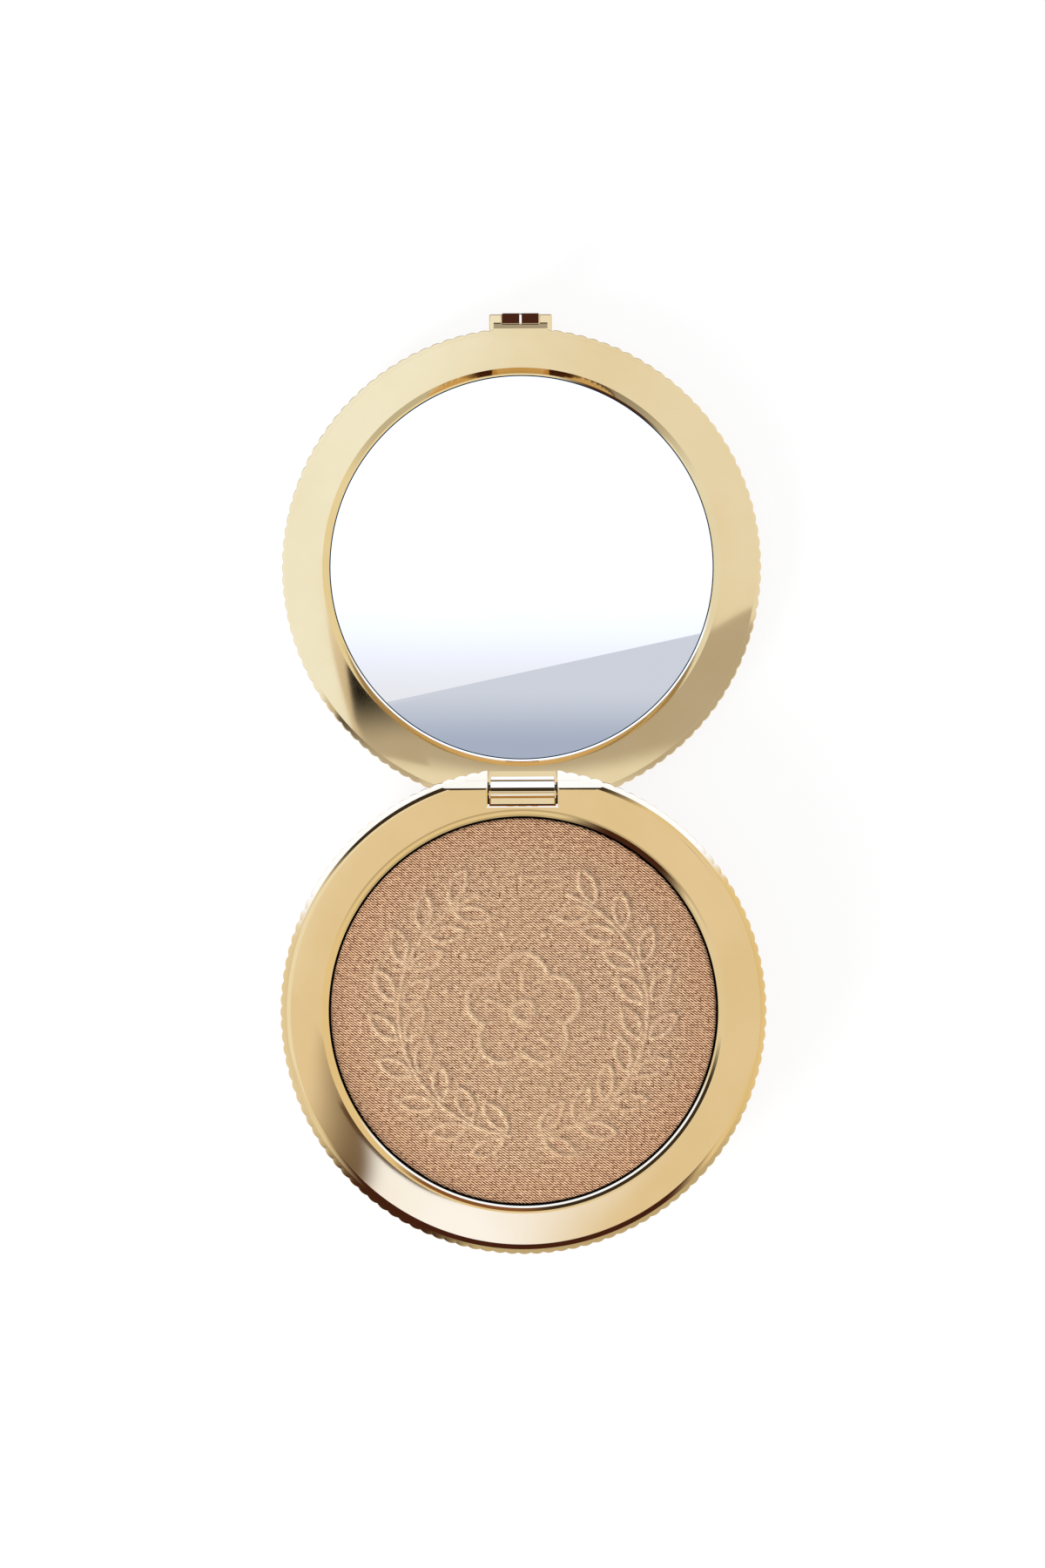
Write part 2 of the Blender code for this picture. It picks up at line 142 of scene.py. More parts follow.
class CompactSizes(bpy.types.PropertyGroup):
    """Sizes of the pieces that a user would change."""
    well_radius: length("Well radius", "Inner radius of both gold rings", PAN_RADIUS + 0.4 * MM)
    lip_width: length("Lip width", "Width of the bevels round the well", 1.05 * MM)
    edge_width: length("Edge width", "Width of the rounding at the base ring's outer edge", 0.76 * MM)
    scallop_depth: length("Scallop depth", "Depth of the valleys in the rims", 0.24 * MM)
    scallop_count: bpy.props.IntProperty(name="Scallops", description="Scallops round each rim",
                                         default=120)
    barrel_radius: length("Barrel radius", "Radius of the hinge barrel", 2.1 * MM)
    relief_height: length("Relief height", "Height of the design on the powder", 0.24 * MM)


class CompactColours(bpy.types.PropertyGroup):
    """Colours of the finishes."""
    base_gold: colour("Base gold", "Gold film of the base", (0.722, 0.476, 0.209))
    lid_gold: colour("Lid gold", "Paler gold film of the lid", (0.755, 0.555, 0.29))
    powder: colour("Powder", "Pressed powder", (0.585, 0.315, 0.165))
    silver: colour("Silver", "Silvering of the mirror", (0.96, 0.965, 0.97))


# Modelling helpers

def clear_selection():
    """Object mode with nothing selected."""
    if bpy.context.mode != "OBJECT":
        bpy.ops.object.mode_set(mode="OBJECT")
    bpy.ops.object.select_all(action="DESELECT")


def make_active(item):
    """Select one object alone."""
    clear_selection()
    item.select_set(True)
    bpy.context.view_layer.objects.active = item


def name_active(name):
    """Name the object just added, and its data; returns the object."""
    item = bpy.context.object
    item.name = name
    item.data.name = name
    return item


def pick(item, mode, test):
    """In edit mode, select the edges or faces that pass a test."""
    shape = bmesh.from_edit_mesh(item.data)
    bpy.ops.mesh.select_all(action="DESELECT")
    bpy.ops.mesh.select_mode(type=mode)
    for part in shape.edges if mode == "EDGE" else shape.faces:
        part.select = test(part)
    shape.select_flush_mode()
    bmesh.update_edit_mesh(item.data)


def pick_boundary(item):
    """In edit mode, select the open edges."""
    pick(item, "EDGE", lambda edge: edge.is_boundary)


def face_outward():
    """In edit mode, turn all faces outward."""
    bpy.ops.mesh.select_all(action="SELECT")
    bpy.ops.mesh.normals_make_consistent(inside=False)


def settle(item):
    """Leave edit mode and put the piece's place into its mesh."""
    make_active(item)
    bpy.ops.object.transform_apply(location=True, rotation=True, scale=True)


def arc(centre_r, centre_z, wide, high, start, end, steps):
    """Points along an elliptical arc in the turning plane, angles in degrees, both ends included."""
    points = []
    for step in range(steps + 1):
        angle = math.radians(start + (end - start) * step / steps)
        points.append((centre_r + wide * math.cos(angle), centre_z + high * math.sin(angle)))
    return points


def turn(name, centre_y, profile, segments):
    """A turned solid: a circle is added and its edge extruded and resized along the profile.

    The profile runs from the axis on one side to the axis on the other, its first and last points off the
    axis; both ends are then closed to the middle. The object is left in edit mode.
    """
    clear_selection()
    radius, height = profile[0]
    bpy.ops.mesh.primitive_circle_add(vertices=segments, radius=radius, fill_type="NOTHING",
                                      location=(0.0, centre_y, height), enter_editmode=True)
    item = name_active(name)
    bpy.ops.mesh.select_mode(type="VERT")
    bpy.ops.mesh.select_all(action="SELECT")
    bpy.ops.mesh.edge_face_add()
    bpy.ops.mesh.poke()
    pick_boundary(item)
    for next_radius, next_height in profile[1:]:
        bpy.ops.mesh.extrude_edges_move(
            TRANSFORM_OT_translate={"value": (0.0, 0.0, next_height - height)})
        if abs(next_radius - radius) > 1e-9:
            factor = next_radius / radius
            bpy.ops.transform.resize(value=(factor, factor, 1.0),
                                     center_override=(0.0, centre_y, next_height))
        radius, height = next_radius, next_height
    bpy.ops.mesh.edge_face_add()
    bpy.ops.mesh.poke()
    face_outward()
    return item


def scallop(item, sizes, inner, low, high, slope=0.0):
    """In edit mode, draw the rim in between its scallops, more the further out it lies.

    Places are in the object's own frame. The rim's vertices lie further out than inner, between low and
    high; those at one radius and one phase of the scallops move together. Vertices inside the rim's wall
    rise by the slope as they are drawn in.
    """
    count = sizes.scallop_count
    shape = bmesh.from_edit_mesh(item.data)
    groups = {}
    for vert in shape.verts:
        radius = vert.co.xy.length
        if radius > inner and low < vert.co.z < high:
            angle = math.atan2(vert.co.y, vert.co.x)
            place = (angle * count / math.tau + 0.5) % 1.0
            across = abs(2.0 * place - 1.0)
            groups.setdefault((round(across, 3), round(radius / MM, 3)), []).append(vert.index)
    bpy.ops.mesh.select_mode(type="VERT")
    for (across, radius_mm), members in groups.items():
        bpy.ops.mesh.select_all(action="DESELECT")
        shape = bmesh.from_edit_mesh(item.data)
        shape.verts.ensure_lookup_table()
        for index in members:
            shape.verts[index].select = True
        shape.select_flush_mode()
        bmesh.update_edit_mesh(item.data)
        reach = (radius_mm * MM - inner) / (RIM_RADIUS - inner)
        drawn = sizes.scallop_depth * across * across * reach
        factor = 1.0 - drawn / (radius_mm * MM)
        bpy.ops.transform.resize(value=(factor, factor, 1.0), center_override=tuple(item.location))
        if slope > 0.0 and radius_mm * MM < RIM_RADIUS - 0.03 * MM:
            bpy.ops.transform.translate(value=(0.0, 0.0, drawn * slope))


def box_tool(name, low, high, rounding=0.0):
    """A box between two corners, with rounded edges where a rounding is given."""
    clear_selection()
    middle = [(a + b) / 2 for a, b in zip(low, high)]
    size = [b - a for a, b in zip(low, high)]
    bpy.ops.mesh.primitive_cube_add(size=1.0, location=middle, scale=size)
    item = name_active(name)
    bpy.ops.object.transform_apply(location=True, rotation=False, scale=True)
    if rounding > 0.0:
        bpy.ops.object.mode_set(mode="EDIT")
        bpy.ops.mesh.select_all(action="SELECT")
        bpy.ops.mesh.bevel(offset=rounding, segments=8, affect="EDGES")
        bpy.ops.object.mode_set(mode="OBJECT")
    return item


def side_body(name, side, half, rounding=0.0):
    """A body with a side profile of points (y, z), extruded along X, its end edges rounded where asked."""
    clear_selection()
    bpy.ops.mesh.primitive_circle_add(vertices=len(side), radius=MM, fill_type="NGON",
                                      location=(0.0, 0.0, 0.0))
    item = name_active(name)
    for vert, (along, height) in zip(item.data.vertices, side):
        vert.co = (-half, along, height)
    bpy.ops.object.mode_set(mode="EDIT")
    bpy.ops.mesh.select_all(action="SELECT")
    bpy.ops.mesh.extrude_region_move(TRANSFORM_OT_translate={"value": (2 * half, 0.0, 0.0)})
    face_outward()
    if rounding > 0.0:
        pick(item, "FACE", lambda face: abs(face.normal.x) > 0.9)
        bpy.ops.mesh.region_to_loop()
        bpy.ops.mesh.bevel(offset=rounding, segments=4, affect="EDGES")
    settle(item)
    return item


def combine(item, tool, operation):
    """Cut a piece with a tool body or join the tool body to it, then delete the tool."""
    make_active(item)
    bpy.ops.object.modifier_add(type="BOOLEAN")
    modifier = item.modifiers[-1]
    modifier.operation = operation
    modifier.solver = "EXACT"
    modifier.object = tool
    bpy.ops.object.modifier_apply(modifier=modifier.name)
    mesh = tool.data
    bpy.data.objects.remove(tool)
    bpy.data.meshes.remove(mesh)


def cut_with_new(item):
    """Cut a piece with the body just added."""
    tool = bpy.context.object
    settle(tool)
    combine(item, tool, "DIFFERENCE")


def slice_off(item, point, normal):
    """Cut a flat facet: drop what lies beyond a plane, on the side that its normal points to."""
    reach = 60.0 * MM
    way = Vector(normal).normalized()
    clear_selection()
    bpy.ops.mesh.primitive_cube_add(size=2 * reach, location=Vector(point) + way * reach,
                                    rotation=way.to_track_quat("Z", "X").to_euler())
    cut_with_new(item)


def cut_bore(item, length_x):
    """Cut the hole that the hinge pin lies in."""
    clear_selection()
    bpy.ops.mesh.primitive_cylinder_add(vertices=BORE_STEPS, radius=BORE_RADIUS, depth=length_x,
                                        location=(0.0, HINGE_Y, HINGE_Z), rotation=(0.0, math.pi / 2, 0.0))
    cut_with_new(item)


def notch_tool():
    """The hinge notch as a tool body, flared at its mouth so that the cut has a bevelled edge."""
    half = NOTCH_HALF
    front = HINGE_Y - 2.85 * MM
    back = RIM_RADIUS + 4.0 * MM
    depth = back - front
    level = DECK - 0.2 * MM
    item = box_tool("notch", (-half, front, -2.0 * MM), (half, back, level))
    make_active(item)
    bpy.ops.object.mode_set(mode="EDIT")
    pick(item, "FACE", lambda face: face.normal.z > 0.9)
    out = 0.0
    for next_out, next_level in ((0.4 * MM, DECK + 0.1 * MM), (0.41 * MM, DECK + 2.0 * MM)):
        rise = (0.0, 0.0, next_level - level)
        bpy.ops.mesh.extrude_region_move(TRANSFORM_OT_translate={"value": rise})
        widen = ((half + next_out) / (half + out), (depth + 2 * next_out) / (depth + 2 * out), 1.0)
        bpy.ops.transform.resize(value=widen, center_override=(0.0, (front + back) / 2, next_level))
        out, level = next_out, next_level
    bpy.ops.object.mode_set(mode="OBJECT")
    return item


def cut_hinge_room(item):
    """Cut the hinge notch into a piece of the base, and the facets that fall to the rear beside it."""
    combine(item, notch_tool(), "DIFFERENCE")
    for back, angle in HINGE_FACETS:
        normal = (0.0, math.sin(math.radians(angle)), math.cos(math.radians(angle)))
        slice_off(item, (0.0, HINGE_Y - back, DECK), normal)


def finish_piece(item, body, nodes, finish, angle=30.0):
    """Shade a piece, give it its finish, and put it in the frame for the CAD nodes it stands for."""
    make_active(item)
    bpy.ops.object.mode_set(mode="EDIT")
    bpy.ops.mesh.select_all(action="SELECT")
    bpy.ops.mesh.remove_doubles(threshold=0.002 * MM)
    bpy.ops.object.mode_set(mode="OBJECT")
    bpy.ops.object.shade_smooth_by_angle(angle=math.radians(angle))
    bpy.ops.object.modifier_add(type="WEIGHTED_NORMAL")
    item.modifiers[-1].keep_sharp = True
    bpy.ops.object.modifier_apply(modifier=item.modifiers[-1].name)
    item.data.materials.clear()
    item.data.materials.append(finish)
    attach(item, body)
    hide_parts(*nodes)


def finish_gold(context, item, body, node, angle):
    """Finish a piece in the gold film of its half; creases over the angle in degrees stay sharp."""
    finish_piece(item, body, [node], gold_finish(context, body), angle)


def ring_section(sizes, deck, bottom, lip, leans, edge):
    """A ring with its well, in section: well floor, wall, bevelled lip, face, rounded edge, underside.

    The lip is a list of bevels from the inside out, each with its share of the lip's width and its slope.
    The face leans by the first of two angles at its inner side and by the second at its outer side, outward
    counted as positive. The edge is a width, the two angles between which it rounds over, and the steps of
    that rounding; then it drops straight down.
    """
    well, outer = sizes.well_radius, RING_RADIUS
    wall = well + 0.5 * MM
    floor = bottom + 0.8 * MM
    lip_end = well + sizes.lip_width
    edge_width, edge_steps = edge[0], edge[3]
    first, last = math.radians(edge[1]), math.radians(edge[2])
    edge_start = outer - edge_width
    lean_in, lean_out = (math.tan(math.radians(lean)) for lean in leans)
    face_width = edge_start - lip_end
    rises = []
    for step in range(FACE_STEPS + 1):
        part = step / FACE_STEPS
        rises.append(-face_width * (lean_in * part + (lean_out - lean_in) * part * part / 2))
    lip_top = deck - max(rises)
    bevels = [(share * sizes.lip_width, math.tan(math.radians(slope))) for share, slope in lip]
    spot = [well, lip_top - sum(run * rise for run, rise in bevels)]
    lip_low = spot[1]
    points = [(1.0 * MM, floor), (well - 0.3 * MM, floor), (well, floor + 0.3 * MM),
              (well, lip_low - 0.05 * MM), (well + 0.005 * MM, lip_low)]
    for run, rise in bevels[:-1]:
        spot = [spot[0] + run, spot[1] + run * rise]
        points.append(tuple(spot))
    for step, rise in enumerate(rises):
        points.append((lip_end + face_width * step / FACE_STEPS, lip_top + rise))
    bend = (edge_width - 0.004 * MM) / (math.sin(last) - math.sin(first))
    edge_top = points[-1][1]
    for step in range(1, edge_steps + 1):
        tilt = first + (last - first) * step / edge_steps
        points.append((edge_start + bend * (math.sin(tilt) - math.sin(first)),
                       edge_top - bend * (math.cos(first) - math.cos(tilt))))
    under = deck - 0.98 * MM
    points += [(outer, points[-1][1] - 0.008 * MM), (outer, under), (wall + 0.2 * MM, under),
               (wall, deck - 1.18 * MM), (wall, bottom), (1.0 * MM, bottom)]
    return points


# Pieces

class COMPACT_OT_base_case(bpy.types.Operator):
    """Scalloped lower case with the hinge notch, the pin bores and the catch groove"""
    bl_idname = "compact.base_case"
    bl_label = "Base case"

    def execute(self, context):
        sizes = context.scene.compact_sizes
        ledge, rim = BASE_LEDGE, RIM_RADIUS
        pocket = sizes.well_radius + POCKET_ROOM
        band_low = ledge - 5.2 * MM
        profile = [(2.0 * MM, 1.6 * MM), (26.2 * MM, 1.6 * MM), (pocket, TRAY_BOTTOM - TRAY_ROOM),
                   (pocket, ledge - 0.2 * MM), (pocket + 0.2 * MM, ledge),
                   (RING_RADIUS + 0.004 * MM, ledge)]
        shoulder = [RING_RADIUS + 0.006 * MM, DECK - 0.19 * MM]
        profile.append(tuple(shoulder))
        run = (rim - 0.06 * MM - shoulder[0]) / len(SHOULDER_TILTS)
        for tilt in SHOULDER_TILTS:
            shoulder[0] += run
            shoulder[1] -= run * math.tan(math.radians(tilt))
            profile.append(tuple(shoulder))
        profile += [(rim, shoulder[1] - 0.15 * MM), (rim, ledge - 2.8 * MM)]
        profile += arc(rim - 0.6 * MM, band_low + 0.6 * MM, 0.6 * MM, 0.6 * MM, 0.0, -90.0, ARC_STEPS)
        profile += [(rim - 0.95 * MM, band_low), (rim - 1.15 * MM, band_low - 0.15 * MM)]
        profile += [(32.4 * MM, 3.5 * MM), (28.9 * MM, 0.85 * MM)]
        profile += arc(28.2 * MM, 0.6 * MM, 0.9 * MM, 0.6 * MM, -10.0, -90.0, 4)
        profile += [(26.0 * MM, 0.0), (25.6 * MM, 0.3 * MM), (3.0 * MM, 0.3 * MM)]
        item = turn("base_case", 0.0, profile, sizes.scallop_count * SCALLOP_STEPS)
        scallop(item, sizes, RING_RADIUS + 0.1 * MM, band_low - profile[0][1] - 0.01 * MM, DECK, 0.6)
        settle(item)
        cut_hinge_room(item)
        cut_bore(item, 2 * PIN_HALF + 0.5 * MM)
        groove = box_tool("groove", (-GROOVE_HALF, -rim - 4 * MM, GROOVE_LOW),
                          (GROOVE_HALF, 0.65 * MM - rim, GROOVE_HIGH))
        combine(item, groove, "DIFFERENCE")
        finish_gold(context, item, "base", "base_shell", 12.0)
        return {"FINISHED"}


class COMPACT_OT_base_ring(bpy.types.Operator):
    """Gold ring round the powder, with the well that holds the pan"""
    bl_idname = "compact.base_ring"
    bl_label = "Base ring"

    def execute(self, context):
        sizes = context.scene.compact_sizes
        section = ring_section(sizes, DECK, TRAY_BOTTOM, BASE_LIP, BASE_LEANS,
                               (sizes.edge_width, *BASE_EDGE))
        item = turn("base_ring", 0.0, section, RING_STEPS)
        settle(item)
        cut_hinge_room(item)
        finish_gold(context, item, "base", "base_tray", 5.0)
        return {"FINISHED"}


class COMPACT_OT_lid_case(bpy.types.Operator):
    """Scalloped lid with the hinge barrel at the rear and the thumb lip at the front"""
    bl_idname = "compact.lid_case"
    bl_label = "Lid case"

    def execute(self, context):
        sizes = context.scene.compact_sizes
        rim = RIM_RADIUS
        ledge = LID_DECK - 1.0 * MM
        band_low = ledge - 2.2 * MM
        pocket = sizes.well_radius + POCKET_ROOM
        pocket_floor = LID_TRAY_BOTTOM - TRAY_ROOM
        core = rim - 0.85 * MM
        profile = [(2.0 * MM, pocket_floor), (pocket, pocket_floor), (pocket, ledge - 0.2 * MM),
                   (pocket + 0.2 * MM, ledge), (rim - 0.72 * MM, ledge), (rim - 0.14 * MM, ledge)]
        profile += arc(rim - 0.12 * MM, ledge - 0.12 * MM, 0.12 * MM, 0.12 * MM, 90.0, 0.0, ARC_STEPS)
        profile += arc(rim - 0.6 * MM, band_low + 0.5 * MM, 0.6 * MM, 0.5 * MM, 0.0, -90.0, ARC_STEPS)
        profile += [(rim - 0.83 * MM, band_low)]
        profile += arc(core - 3.0 * MM, band_low, 3.0 * MM, band_low - 0.8 * MM, -3.0, -84.0, 10)
        # The outside of the lid is slightly domed
        for part in (0.9, 0.75, 0.6, 0.45, 0.3, 0.15, 0.05):
            radius = 33.1 * MM * part
            profile.append((radius, LID_BOTTOM + 0.5 * MM * part * part))
        item = turn("lid_case", LID_Y, profile, sizes.scallop_count * SCALLOP_STEPS)
        scallop(item, sizes, rim - 0.7 * MM, band_low - profile[0][1] - 0.01 * MM, 1.0)
        settle(item)
        lip = box_tool("lip", (-LIP_HALF, LID_Y + 35.0 * MM, band_low + 0.03 * MM),
                       (LIP_HALF, LIP_END, ledge - 0.01 * MM), 0.22 * MM)
        combine(item, lip, "UNION")
        combine(item, clearance_tool(), "DIFFERENCE")
        web_low = band_low + 0.05 * MM
        web = [(WEB_FRONT, web_low), (HINGE_Y + 2.5 * MM, web_low),
               (HINGE_Y + 2.5 * MM, HINGE_Z + 0.92 * MM), (HINGE_Y - 1.6 * MM, HINGE_Z + 0.78 * MM),
               (HINGE_Y - 2.4 * MM, HINGE_Z + 0.3 * MM), (WEB_FRONT, HINGE_Z - 0.4 * MM)]
        combine(item, side_body("web", web, WEB_HALF), "UNION")
        barrel = side_body("barrel", barrel_side(sizes.barrel_radius / MM), BARREL_HALF, 0.06 * MM)
        combine(item, barrel, "UNION")
        cut_bore(item, 14.0 * MM)
        finish_gold(context, item, "lid", "lid_shell", 12.0)
        return {"FINISHED"}


def barrel_side(radius):
    """Side profile of the hinge barrel for a radius in mm.

    It is round below, with a narrow top, facets that fall to the rear, a groove behind them and a shelf in
    front.
    """
    points = [(-1.25, radius - 0.092), (-1.0, radius - 0.067), (-0.65, radius - 0.067)]
    for run, tilt in ((0.16, 8.0), (0.16, 14.0), (0.16, 20.0), (0.16, 27.0), (0.16, 33.0), (0.95, 38.0)):
        along, height = points[-1]
        points.append((along + run, height - run * math.tan(math.radians(tilt))))
    points += [(1.17, 0.72), (1.25, 1.2), (1.68, 0.87)]
    points += arc(0.0, 0.0, radius, radius, 10.0, -200.0, 40)
    points += [(-2.5, 0.9), (-2.5, 1.3), (-1.62, 1.34)]
    return [(HINGE_Y + along * MM, HINGE_Z + height * MM) for along, height in points]


def clearance_tool():
    """The space under the base's rim as a tool body: the opened lid is cut back to clear it."""
    top = LID_DECK + 3.0 * MM
    profile = [(1.0 * MM, -1.0 * MM), (29.0 * MM, -1.0 * MM), (29.3 * MM, 0.85 * MM),
               (32.8 * MM, 3.5 * MM), (35.0 * MM, LID_DECK), (36.3 * MM, LID_DECK + 1.1 * MM),
               (36.3 * MM, top), (1.0 * MM, top)]
    item = turn("clearance", 0.0, profile, RING_STEPS)
    settle(item)
    return item


class COMPACT_OT_mirror_ring(bpy.types.Operator):
    """Gold ring round the mirror, with the tongue over the latch"""
    bl_idname = "compact.mirror_ring"
    bl_label = "Mirror ring"

    def execute(self, context):
        sizes = context.scene.compact_sizes
        section = ring_section(sizes, LID_DECK, LID_TRAY_BOTTOM, LID_LIP, LID_LEANS, LID_EDGE)
        item = turn("mirror_ring", LID_Y, section, RING_STEPS)
        settle(item)
        root, end = LID_Y + 35.2 * MM, HOOK_HIGH.y - 0.98 * MM
        high, low = LID_DECK - 0.02 * MM, LID_DECK - 0.75 * MM
        tongue = [(root, low), (end, low), (end, high - 0.005 * MM), (end - 0.2 * MM, high + 0.075 * MM),
                  (end - 0.9 * MM, high), (root, high)]
        combine(item, side_body("tongue", tongue, TONGUE_HALF), "UNION")
        combine(item, clearance_tool(), "DIFFERENCE")
        finish_gold(context, item, "lid", "mirror_tray", 5.0)
        return {"FINISHED"}


class COMPACT_OT_mirror_plate(bpy.types.Operator):
    """Round silvered mirror with a ground edge"""
    bl_idname = "compact.mirror_plate"
    bl_label = "Mirror plate"

    def execute(self, context):
        top = MIRROR_HIGH.z - 0.1 * MM
        bottom = MIRROR_LOW.z
        edge = MIRROR_RADIUS + 0.27 * MM
        profile = [(4.0 * MM, bottom), (edge - 0.15 * MM, bottom), (edge, bottom + 0.15 * MM),
                   (edge, top - 0.12 * MM), (edge - 0.02 * MM, top - 0.07 * MM), (edge - 0.09 * MM, top),
                   (edge - 0.5 * MM, top), (20.0 * MM, top), (4.0 * MM, top)]
        item = turn("mirror_plate", LID_Y, profile, MIRROR_STEPS)
        settle(item)
        finish_piece(item, "lid", ["mirror_glass"], mirror_finish(context))
        return {"FINISHED"}


class COMPACT_OT_latch_catch(bpy.types.Operator):
    """Hook under the thumb lip, with a lead-in at its tip and a nub that snaps into the base"""
    bl_idname = "compact.latch_catch"
    bl_label = "Latch catch"

    def execute(self, context):
        outer = HOOK_HIGH.y
        inner = outer - 0.9 * MM
        top = HOOK_HIGH.z
        nub = HOOK_LOW.y + 0.35 * MM
        side = [(outer, HOOK_LOW.z), (outer, top - 0.05 * MM), (outer - 0.12 * MM, top),
                (nub + 0.05 * MM, top - 0.78 * MM), (nub, top - 0.85 * MM), (nub, top - 1.0 * MM),
                (inner, top - 1.25 * MM), (inner, HOOK_LOW.z)]
        item = side_body("latch_catch", side, HOOK_HIGH.x, 0.22 * MM)
        front, back = nub + 0.03 * MM, outer - 0.02 * MM
        rib = [(front, top - 1.2 * MM), (back, top - 1.2 * MM), (back, top - 0.01 * MM),
               (front, top - 0.34 * MM)]
        combine(item, side_body("rib", rib, RIB_HALF), "UNION")
        finish_gold(context, item, "lid", "latch_hook", 8.0)
        return {"FINISHED"}


def stroke(distance, half):
    """Height from 0 to 1 of a raised stroke with rounded shoulders, at a distance from its middle line."""
    rise = np.clip((half + 0.3 - distance) / 0.45, 0.0, 1.0)
    return rise * rise * (3.0 - 2.0 * rise)


def leaf_line(x, y, half_length, bow):
    """Distance in mm from the outline of a pointed leaf that lies along Y."""
    radius = (half_length * half_length + bow * bow) / (2.0 * bow)
    offset = radius - bow
    x, y = np.abs(x), np.abs(y)
    at_tip = (y - half_length) * offset > x * half_length
    tip = np.hypot(x, y - half_length)
    side = np.hypot(x + offset, y) - radius
    return np.abs(np.where(at_tip, tip, side))


def relief(x, y):
    """Height from 0 to 1 of the raised design: a blossom inside a leafy wreath with dots."""
    high = np.zeros_like(x)
    radius = np.hypot(x, y)
    bloom = np.full_like(x, 99.0)
    for petal in range(PETALS):
        angle = math.radians(90.0 + 360.0 / PETALS * petal)
        px, py = PETAL_RING * math.cos(angle), PETAL_RING * math.sin(angle)
        bloom = np.minimum(bloom, np.hypot(x - px, y - py) - PETAL_RADIUS)
        along = x * math.cos(angle) + y * math.sin(angle)
        aside = np.abs(-x * math.sin(angle) + y * math.cos(angle))
        vein = np.hypot(aside, np.maximum(np.maximum(3.2 - along, along - 6.0), 0.0))
        high = np.maximum(high, 0.7 * stroke(vein, 0.18))
    high = np.maximum(high, stroke(np.abs(bloom), 0.3))
    high = np.maximum(high, stroke(np.abs(radius - EYE_RADIUS), 0.25))
    for side in (-1.0, 1.0):
        for step in range(LEAF_PAIRS):
            angle = math.radians(LEAF_FIRST + LEAF_STEP * step)
            for across in (-1.0, 1.0):
                lean = angle + math.radians(90.0) - across * math.radians(LEAF_LEAN)
                root = STEM_RADIUS + across * 2.4
                cx = root * math.cos(angle + 0.05) * side
                cy = root * math.sin(angle + 0.05)
                dx, dy = (x - cx) * side, y - cy
                along = dx * math.cos(lean) + dy * math.sin(lean)
                aside = -dx * math.sin(lean) + dy * math.cos(lean)
                leaf = leaf_line(aside, along, LEAF_HALF, LEAF_BOW)
                high = np.maximum(high, stroke(leaf, 0.22))
        turned = np.degrees(np.arctan2(y, x * side))
        stem = np.where((turned > -84.0) & (turned < 70.0), np.abs(radius - STEM_RADIUS), 9.0)
        high = np.maximum(high, stroke(stem, 0.22))
    for step in range(DOTS):
        angle = math.radians(360.0 / DOTS * step + 15.0)
        dot = np.hypot(x - DOT_RING * math.cos(angle), y - DOT_RING * math.sin(angle))
        high = np.maximum(high, stroke(dot, DOT_RADIUS))
    return high


class COMPACT_OT_powder_cake(bpy.types.Operator):
    """Powder pressed over the pan, with a raised design"""
    bl_idname = "compact.powder_cake"
    bl_label = "Powder cake"

    def execute(self, context):
        sizes = context.scene.compact_sizes
        edge = PAN_RADIUS + 0.08 * MM
        edge_top = PAN_TOP + 0.25 * MM
        crown = POWDER_TOP - sizes.relief_height - edge_top
        clear_selection()
        bpy.ops.mesh.primitive_grid_add(x_subdivisions=POWDER_STEPS, y_subdivisions=POWDER_STEPS, size=2.0,
                                        location=(0.0, 0.0, 0.0))
        item = name_active("powder_cake")
        places = np.empty(len(item.data.vertices) * 3)
        item.data.vertices.foreach_get("co", places)
        places = places.reshape(-1, 3)
        # The square grid is drawn into a disc
        u, v = places[:, 0].copy(), places[:, 1].copy()
        x = u * np.sqrt(1.0 - v * v / 2.0) * edge
        y = v * np.sqrt(1.0 - u * u / 2.0) * edge
        radius = np.hypot(x, y)
        raised = relief(x / MM, y / MM)
        inside = np.clip((edge - radius) / (0.6 * MM), 0.0, 1.0)
        shoulder = 0.22 * MM * (np.sqrt(1.0 - (1.0 - inside) ** 2) - 1.0)
        dome = crown * (1.0 - (radius / edge) ** 2)
        places[:, 0], places[:, 1] = x, y
        places[:, 2] = edge_top + shoulder + dome + sizes.relief_height * raised
        item.data.vertices.foreach_set("co", places.ravel())
        level = item.data.attributes.new("relief", "FLOAT", "POINT")
        level.data.foreach_set("value", raised)
        item.data.update()
        bpy.ops.object.mode_set(mode="EDIT")
        pick_boundary(item)
        low = PAN_TOP + 0.02 * MM
        bpy.ops.transform.resize(value=(1.0, 1.0, 0.0), center_override=(0.0, 0.0, low))
        bpy.ops.mesh.extrude_edges_move(TRANSFORM_OT_translate={"value": (0.0, 0.0, 0.0)})
        inner = (PAN_RADIUS - 0.6 * MM) / edge
        bpy.ops.transform.resize(value=(inner, inner, 1.0), center_override=(0.0, 0.0, low))
        drop = (0.0, 0.0, POWDER_BOTTOM - low)
        bpy.ops.mesh.extrude_edges_move(TRANSFORM_OT_translate={"value": drop})
        bpy.ops.mesh.edge_face_add()
        face_outward()
        bpy.ops.object.mode_set(mode="OBJECT")
        finish_piece(item, "base", ["pressed_powder"], powder_finish(context), 60.0)
        return {"FINISHED"}


# Finishes

def feed(tree, node, values):
    """Link each named input of a node to its socket, or set it to its number."""
    for key, value in values.items():
        if isinstance(value, bpy.types.NodeSocket):
            tree.links.new(value, node.inputs[key])
        else:
            node.inputs[key].default_value = value


def add_node(tree, kind, values=None, **settings):
    """A shader node with its settings and the values of its inputs."""
    made = tree.nodes.new(kind)
    for name, value in settings.items():
        setattr(made, name, value)
    feed(tree, made, values or {})
    return made


